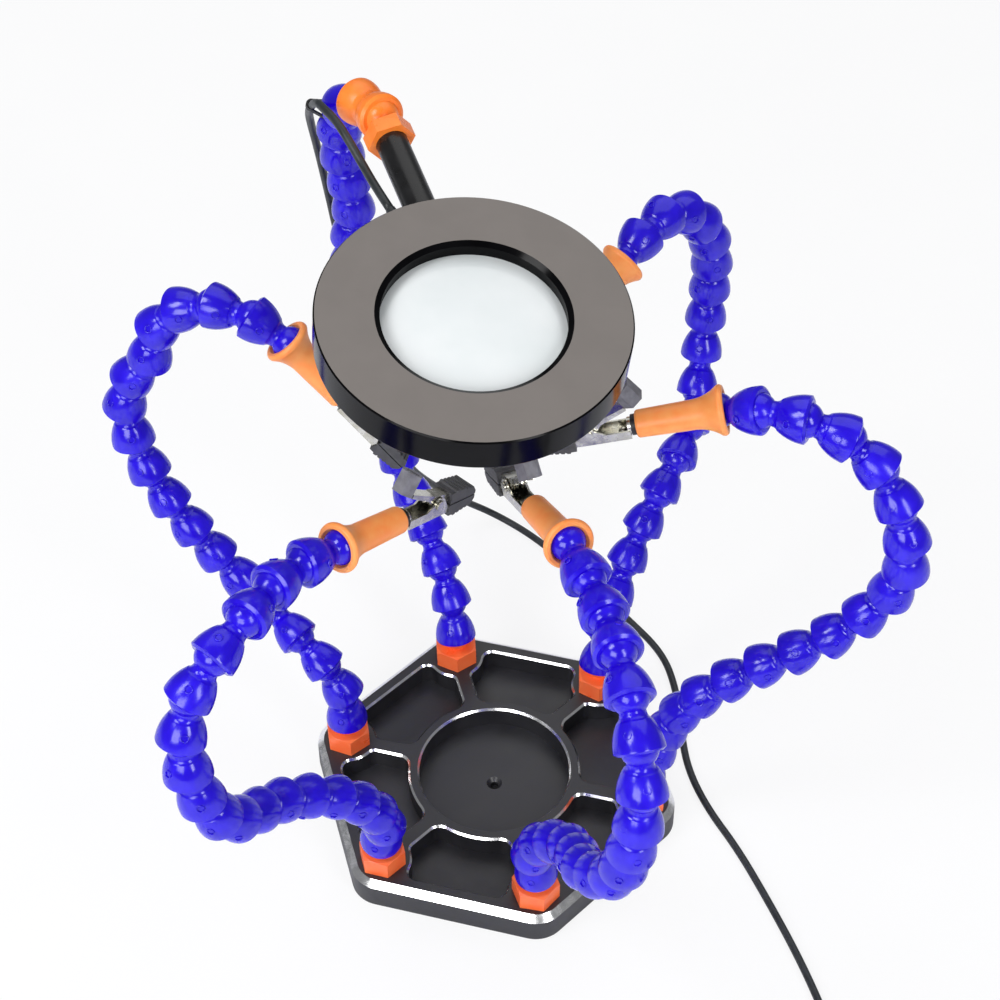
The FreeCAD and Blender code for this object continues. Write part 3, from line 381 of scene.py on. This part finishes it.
for arm in ARMS:
    start, forward, lever, side, pivot = clip_frame(arm)
    hardware = paint(arm + "_clip_hardware", nickel, bush_nylon)
    for face in hardware.data.polygons:
        away = face.center - start
        along = away.dot(forward)
        if along < BUSH_REACH and (away - forward * along).length > BUSH_INSIDE:
            face.material_index = 1
    wire = [pivot + lever * SPRING_COIL * 1.05 - side * SPRING_WIDTH / 2 - forward * LEG + lever * 1.0 * MM]
    steps = SPRING_STEPS * SPRING_TURNS
    for step in range(steps + 1):
        angle = math.pi / 2 - 2 * math.pi * SPRING_TURNS * step / steps
        wire.append(pivot + (forward * math.cos(angle) + lever * math.sin(angle)) * SPRING_COIL
                    + side * SPRING_WIDTH * (step / steps - 0.5))
    wire.append(pivot + lever * SPRING_COIL * 0.9 + side * SPRING_WIDTH / 2 + forward * LEG * 0.6)
    mesh = bmesh.new()
    add_tube(mesh, wire, SPRING_WIRE, 8)
    finish_piece(arm + "_torsion_spring", mesh, spring_steel, arm + "_clip")

# -------------------------------------------------------------------------------------------------------
# Jaw covers and lever caps. Charcoal PVC: ribbed sleeves over the jaws, and a lighter hexagonal cap
# on the lever.
# -------------------------------------------------------------------------------------------------------
# Soft moulded vinyl: dark grey and dull
charcoal, tree, shader, place = new_material("charcoal_vinyl", 0.55)
shade = wash(tree, shader, place, 3, "#37373A", "#48484C")
rough_range(tree, shader, shade.outputs["Fac"], 0.45, 0.62)
relief(tree, shader, place, 0.5, 0.04, 0.6)
# The cap is the same vinyl in a lighter grey
cap_grey, tree, shader, place = new_material("grey_vinyl", 0.5)
wash(tree, shader, place, 3, "#5E5E66", "#74747C")
relief(tree, shader, place, 0.5, 0.03, 0.5)
CAP_LIMIT = 10 * MM              # the cap ends this far beyond the sleeve

for arm in ARMS:
    start, forward = clip_frame(arm)[:2]
    paint(arm + "_lower_jaw_cover", charcoal)
    upper = paint(arm + "_upper_jaw_cover", charcoal, cap_grey)
    for face in upper.data.polygons:
        if (face.center - start).dot(forward) < CAP_LIMIT:
            face.material_index = 1

# -------------------------------------------------------------------------------------------------------
# Lamp joint. A double socket and a hexagonal ball fitting in a yellower orange acetal, then a steel
# stem, powder coated satin black.
# -------------------------------------------------------------------------------------------------------
amber = acetal("amber_acetal", "#FF7E26", "#FF8C36", 0.3)
paint("lamp_double_socket", amber)
paint("lamp_hex_socket", amber)

# Powder coating flows into an even satin film with a faint orange peel
black_steel, tree, shader, place = new_material("satin_black_coating", 0.3, IOR=1.5)
shade = wash(tree, shader, place, 6, "#0C0C0D", "#131315")
rough_range(tree, shader, shade.outputs["Fac"], 0.25, 0.36)
relief(tree, shader, place, 0.5, 0.01, 0.5)
paint("lamp_stem", black_steel)

# -------------------------------------------------------------------------------------------------------
# Ring lamp. The housing is gloss black ABS; its top is a stamped plate painted satin warm grey.
# -------------------------------------------------------------------------------------------------------
# Polished moulds give black ABS a clean gloss, kept weak here so that the side stays deep black
gloss_abs, tree, shader, place = new_material("gloss_black_abs", 0.16, IOR=1.53, Specular_IOR_Level=0.08)
shade = wash(tree, shader, place, 12, "#040405", "#070709")
rough_range(tree, shader, shade.outputs["Fac"], 0.12, 0.2)
relief(tree, shader, place, 6, 0.03, 0.3)
paint("lamp_housing", gloss_abs)
paint("lamp_lens_ring", gloss_abs)

# Sprayed paint: flat, satin and very fine grained
warm_grey, tree, shader, place = new_material("satin_grey_paint", 0.4, IOR=1.5)
shade = wash(tree, shader, place, 14, "#6E6864", "#726C68")
rough_range(tree, shader, shade.outputs["Fac"], 0.36, 0.46)
relief(tree, shader, place, 0.45, 0.012, 0.6)
cover = paint("lamp_top_cover", warm_grey, gloss_abs)
lamp_up = Vector((0.117, -0.111, 0.987)).normalized()
FACES_UP = 0.9                   # the flat top; its edge and underside stay black
for face in cover.data.polygons:
    if face.normal.dot(lamp_up) < FACES_UP:
        face.material_index = 1

# -------------------------------------------------------------------------------------------------------
# Lens, LEDs and diffuser. A crown glass magnifier, its milky white painted into its colour as the white
# bench and room seen in and through it; a white board of LEDs and a frosted acrylic window.
# -------------------------------------------------------------------------------------------------------
# Polished glass with a soft coat of reflection; its nearly white colour is painted, standing in for the
# white bench and room seen in and through the glass
lens_glass_painted_white, tree, shader, place = new_material("crown_glass_painted_white", 0.05, IOR=1.52, Transmission_Weight=0.25)
shade = wash(tree, shader, place, 30, "#EAF0F1", "#F3F7F8")
shader.inputs["Coat Weight"].default_value = 0.4
relief(tree, shader, place, 20, 0.02, 0.2)
paint("lamp_lens", lens_glass_painted_white)

# White solder mask is printed, so it is even and half gloss
board_mask, tree, shader, place = new_material("white_solder_mask", 0.4)
wash(tree, shader, place, 3, "#E4E4DE", "#F2F2EC")
relief(tree, shader, place, 0.6, 0.02, 0.4)
paint("lamp_led_board", board_mask)

# Frosting scatters the light of the LEDs into an even white
frosted, tree, shader, place = new_material("frosted_acrylic", 0.45, IOR=1.49, Transmission_Weight=0.3)
wash(tree, shader, place, 8, "#E8E9E6", "#F4F4F2")
relief(tree, shader, place, 0.3, 0.02, 0.6)
paint("lamp_diffuser", frosted)

# -------------------------------------------------------------------------------------------------------
# Lead. A 3.1 mm round flex in soft black PVC. It leaves a tapered boot beside the stem, is tied to
# the top links and to the lower links, and runs over the bench to its coil and USB plug.
# -------------------------------------------------------------------------------------------------------
# Extruded PVC: dull black with a soft, long sheen
sheath, tree, shader, place = new_material("pvc_sheath", 0.42, IOR=1.5)
shade = wash(tree, shader, place, 5, "#202426", "#2C3033")
rough_range(tree, shader, shade.outputs["Fac"], 0.34, 0.5)
relief(tree, shader, place, 0.9, 0.02, 0.4)
LEAD_RADIUS = 1.55 * MM
LEAD_SIDES = 14
TOP_TIE = (-86, 76, 280)
LOW_TIE = (-76, 103, 117)
FLOOR = 1.6                      # middle of the lead where it lies on the bench
BOOT_END = (-40.79, 23.56, 282.39)
BOOT_RUN = (-48.2, 31.5, 284.1)
LEAD_TOP = [BOOT_END, BOOT_RUN, (-56, 42, 284), (-62, 47, 289), (-69, 54, 292), (-76, 61, 291),
            (-81, 67, 289), TOP_TIE]
LEAD_ARM = [TOP_TIE, (-91, 85, 271), (-94, 94, 258), (-95, 101, 243), (-95, 106, 226), (-95, 111, 208),
            (-93, 113, 185), (-88, 110, 162), (-81, 105, 138), LOW_TIE]
LEAD_FALL = [LOW_TIE, (-71, 101, 96), (-67, 106, 72), (-62, 123, 45), (-54, 140, 20), (-40, 152, FLOOR),
             (-16, 141, FLOOR), (9, 123, FLOOR), (33, 105, FLOOR), (53, 89, FLOOR), (63, 70, FLOOR),
             (69, 50, FLOOR), (76, 30, FLOOR), (88, 12, FLOOR), (104, -5, FLOOR), (120, -26, FLOOR),
             (135, -47, FLOOR), (147, -66, FLOOR), (158, -86, FLOOR), (168, -106, FLOOR)]
COIL_MEAN = 18.5
COIL_STEP = 3.12
COIL_EDGE = 24.95                # where the lead meets the coil, from the coil's middle
TURN_POINTS = 20
CROSSING = 0.2                   # share of a turn in which the lead climbs to the next turn's place
LEAD_IN = 0.11                   # share of a turn in which the lead joins the coil
COIL_CELLS = [(1, 0), (0, 0), (-1, 0), (-1, 1), (-1, 2), (0, 2), (0, 1), (1, 1)]   # place of each turn
PLUG_ANGLE = 250
PLUG_EDGE = 26.0
BOOT_HEIGHT = 3.55


def coil_points():
    """The wound turns, from the end of the run on the bench to the boot of the plug."""
    low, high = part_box("lead_coil")
    middle = (low + high) / 2 / MM
    last = Vector(LEAD_FALL[-1])
    entry = math.atan2(last.y - middle.y, last.x - middle.x)
    points = []
    for step in range(1, TURN_POINTS * len(COIL_CELLS) + 1):
        turn = step / TURN_POINTS
        cell = COIL_CELLS[min(int(turn), len(COIL_CELLS) - 1)]
        following = COIL_CELLS[min(int(turn) + 1, len(COIL_CELLS) - 1)]
        share = max(0.0, (turn % 1 - 0.8) / CROSSING) if turn < len(COIL_CELLS) else 0.0
        share = share * share * (3 - 2 * share)
        radius = COIL_MEAN + COIL_STEP * (cell[0] + (following[0] - cell[0]) * share)
        height = FLOOR + COIL_STEP * (cell[1] + (following[1] - cell[1]) * share)
        radius += (COIL_EDGE - radius) * max(0.0, 1 - turn / LEAD_IN) ** 2 if turn < LEAD_IN else 0.0
        angle = entry + 2 * math.pi * turn
        points.append((middle.x + radius * math.cos(angle), middle.y + radius * math.sin(angle), height))
    finish = math.radians(PLUG_ANGLE)
    sweep = (finish - entry) % (2 * math.pi)
    outer = COIL_MEAN + COIL_STEP
    for share in (0.33, 0.66, 0.9, 1.0):
        angle = entry + sweep * share
        radius = outer + (PLUG_EDGE - outer) * share ** 2
        height = FLOOR + COIL_STEP - (FLOOR + COIL_STEP - BOOT_HEIGHT) * max(0.0, share - 0.6) / 0.4
        points.append((middle.x + radius * math.cos(angle), middle.y + radius * math.sin(angle), height))
    return points


def smooth_line(name, route):
    """Points along a NURBS line that has the route as its control points."""
    curve = bpy.data.curves.new(name, "CURVE")
    curve.dimensions = "3D"
    curve.resolution_u = 8
    spline = curve.splines.new("NURBS")
    spline.points.add(len(route) - 1)
    for point, place in zip(spline.points, route):
        point.co = (place[0] * MM, place[1] * MM, place[2] * MM, 1)
    spline.order_u = 3
    spline.use_endpoint_u = True
    holder = bpy.data.objects.new(name, curve)
    line = bpy.data.meshes.new_from_object(holder)
    points = [vertex.co.copy() for vertex in line.vertices]
    bpy.data.objects.remove(holder)
    bpy.data.curves.remove(curve)
    bpy.data.meshes.remove(line)
    return points


paint("lead_gland", sheath)


def lead_piece(name, route):
    """One stretch of the lead as a tube along its route."""
    points = smooth_line(name + "_line", route)
    mesh = bmesh.new()
    add_tube(mesh, points, LEAD_RADIUS, LEAD_SIDES)
    piece = finish_piece(name, mesh, sheath, None)
    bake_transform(piece)
    return piece


lead_top = lead_piece("lead_to_lamp", LEAD_TOP)
lead_arm = lead_piece("lead_on_arm", LEAD_ARM)
points = smooth_line("lead_fall_line", LEAD_FALL + coil_points())
mesh = bmesh.new()
add_tube(mesh, points, LEAD_RADIUS, LEAD_SIDES)
lead_fall = finish_piece("lead_on_bench", mesh, sheath, None)
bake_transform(lead_fall)
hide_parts("lead_top")
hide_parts("lead_arm")
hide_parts("lead_fall", "lead_coil")

# -------------------------------------------------------------------------------------------------------
# Ties. Black nylon straps: two hold the lead against the lamp arm's links, one holds its coil.
# -------------------------------------------------------------------------------------------------------
TIE_WIDTH = 1.6 * MM
TIE_THICK = 0.7 * MM
TIE_STEPS = 14


def add_strap(mesh, first, first_radius, second, second_radius, along, width):
    """A flat strap drawn tight round two round things, across the direction they both run in."""
    along = along.normalized()
    apart = second - first
    apart -= along * apart.dot(along)
    reach = apart.length
    forward = apart.normalized()
    side = along.cross(forward)
    lean = math.acos(max(-1.0, min(1.0, (first_radius - second_radius) / reach)))
    outline = []
    for centre, radius, start, end in ((second, second_radius, -lean, lean),
                                       (first, first_radius, lean, 2 * math.pi - lean)):
        for step in range(TIE_STEPS + 1):
            angle = start + (end - start) * step / TIE_STEPS
            out = forward * math.cos(angle) + side * math.sin(angle)
            outline.append((centre + out * radius, out))
    rings = []
    for point, out in outline:
        ring = [point + out * depth + along * across for depth, across in (
            (0, -width / 2), (TIE_THICK, -width / 2), (TIE_THICK, width / 2), (0, width / 2))]
        rings.append([mesh.verts.new(corner) for corner in ring])
    for lower, upper in zip(rings, rings[1:] + rings[:1]):
        for corner in range(4):
            following = (corner + 1) % 4
            mesh.faces.new((lower[corner], lower[following], upper[following], upper[corner]))


low_points = separate_solids(nodes["lamp_lower_links"])
high_points = separate_solids(nodes["lamp_upper_links"])


def nearest_link(solids, place):
    """Socket centre and direction of the link nearest to a place."""
    found = [link_axis(points) for points in solids]
    return min(found, key=lambda item: (item[0] + item[1] * 0.01 - place).length)


NECK = 4.6 * MM
NECK_PLACE = 11 * MM             # from the centre of a link's socket to its neck
for name, solids, place, body in (("top_tie", high_points, Vector(TOP_TIE) * MM, "lamp_upper_arm"),
                                  ("low_tie", low_points, Vector(LOW_TIE) * MM, "lamp_lower_arm")):
    start, axis = nearest_link(solids, place)
    neck = start + axis * NECK_PLACE
    mesh = bmesh.new()
    add_strap(mesh, neck, NECK, place, LEAD_RADIUS + 0.05 * MM, axis, TIE_WIDTH)
    finish_piece(name, mesh, bush_nylon, body, smooth=False)

coil_low, coil_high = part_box("lead_coil")
coil_middle = (coil_low + coil_high) / 2
mesh = bmesh.new()
band_middle = coil_middle + Vector((COIL_MEAN * MM, 0, 0))
half_band = Vector((0, 0, 1.6 * MM))
BAND_ROUNDING = 2.9 * MM
add_strap(mesh, band_middle - half_band, BAND_ROUNDING, band_middle + half_band, BAND_ROUNDING,
          Vector((0, 1, 0)), 4 * MM)
finish_piece("coil_tie", mesh, bush_nylon, "root", smooth=False)

# -------------------------------------------------------------------------------------------------------
# USB plug. A matt black overmoulding on a drawn, nickel plated shell.
# -------------------------------------------------------------------------------------------------------
# Overmoulded PVC with a spark eroded, matt skin
plug_black, tree, shader, place = new_material("matt_black_overmould", 0.6)
wash(tree, shader, place, 3, "#161618", "#1F1F22")
relief(tree, shader, place, 0.5, 0.03, 0.5)
SHELL_LENGTH = 12.1 * MM
plug = paint("usb_plug", plug_black, nickel)
plug_points = np.array([vertex.co for vertex in plug.data.vertices])
turned = math.radians(PLUG_ANGLE + 90)
plug_out = Vector((math.cos(turned), math.sin(turned), 0))
plug_tip = (plug_points @ np.array(plug_out)).max()
for face in plug.data.polygons:
    if face.center.dot(plug_out) > plug_tip - SHELL_LENGTH:
        face.material_index = 1

# -------------------------------------------------------------------------------------------------------
# Bench, backdrop, lights and camera.
# -------------------------------------------------------------------------------------------------------
# A matt white sheet that is seen nearly white and keeps the object's shadow
bench_white, tree, shader, place = new_material("white_bench", 0.7)
wash(tree, shader, place, 60, "#F4F5FA", "#F7F8FC")
BENCH_GLOW = 0.84                # how white the bench is seen; the rest of it takes light and shadow
path = node(tree, "LightPath")
seen = node(tree, "Math", {0: path.outputs["Is Camera Ray"], 1: path.outputs["Is Transmission Ray"]},
            operation="MAXIMUM")
share = node(tree, "Math", {0: seen.outputs[0], 1: BENCH_GLOW}, operation="MULTIPLY")
glow = node(tree, "Emission", {"Color": linear("#FFFFFF"), "Strength": 1.0})
mix = node(tree, "MixShader", {"Fac": share.outputs[0], 1: shader.outputs["BSDF"],
                               2: glow.outputs["Emission"]})
tree.links.new(mix.outputs["Shader"], tree.nodes["Material Output"].inputs["Surface"])
BENCH_HALF = 6.0
mesh = bmesh.new()
corners = [mesh.verts.new((x * BENCH_HALF, y * BENCH_HALF, 0))
           for x, y in ((-1, -1), (1, -1), (1, 1), (-1, 1))]
mesh.faces.new(corners)
data = bpy.data.meshes.new("bench")
mesh.to_mesh(data)
mesh.free()
data.materials.append(bench_white)
bench = bpy.data.objects.new("bench", data)
bpy.context.scene.collection.objects.link(bench)

world = bpy.data.worlds.new("studio")
bpy.context.scene.world = world
world.use_nodes = True
backdrop = world.node_tree.nodes["Background"]
path = node(world.node_tree, "LightPath")
ROOM_LIGHT = 0.2                 # light from all round; the background itself is seen as white
level = node(world.node_tree, "MapRange", {"Value": path.outputs["Is Camera Ray"],
                                           "To Min": ROOM_LIGHT, "To Max": 1.0})
world.node_tree.links.new(level.outputs["Result"], backdrop.inputs["Strength"])
backdrop.inputs["Color"].default_value = linear("#FBFCFF")
AIM_HEIGHT = 0.16


def soft_box(name, place, width, height, power):
    """A rectangular soft box aimed at the middle of the object."""
    light = bpy.data.lights.new(name, "AREA")
    light.shape = "RECTANGLE"
    light.size = width
    light.size_y = height
    light.energy = power
    holder = bpy.data.objects.new(name, light)
    bpy.context.scene.collection.objects.link(holder)
    aim = Vector((0, 0, AIM_HEIGHT)) - Vector(place)
    turn = aim.to_track_quat("-Z", "Y").to_matrix().to_4x4()
    holder.matrix_world = Matrix.Translation(Vector(place)) @ turn


soft_box("key", (-0.8, -0.7, 1.5), 0.5, 0.8, 12)
soft_box("fill", (1.2, -0.9, 1.0), 0.4, 1.0, 11)
soft_box("front", (-0.3, -1.6, 0.9), 1.0, 0.8, 16)
soft_box("top", (0, 0.9, 1.7), 2.2, 1.8, 12)

CAMERA_PLACE = Vector((150.1, -544.9, 765.2)) * MM
CAMERA_TURN = 15.085             # degrees round the upright axis
CAMERA_TILT = 46.24              # degrees below level
CAMERA_ROLL = -0.37
lens = bpy.data.cameras.new("camera")
lens.lens = 81.22
lens.sensor_width = 36
lens.clip_start = 0.05
lens.clip_end = 30
camera = bpy.data.objects.new("camera", lens)
bpy.context.scene.collection.objects.link(camera)
camera.matrix_world = (Matrix.Translation(CAMERA_PLACE)
                       @ Matrix.Rotation(math.radians(CAMERA_TURN), 4, "Z")
                       @ Matrix.Rotation(math.radians(90 - CAMERA_TILT), 4, "X")
                       @ Matrix.Rotation(math.radians(CAMERA_ROLL), 4, "Z"))
bpy.context.scene.camera = camera
bpy.context.scene.view_settings.view_transform = "Standard"
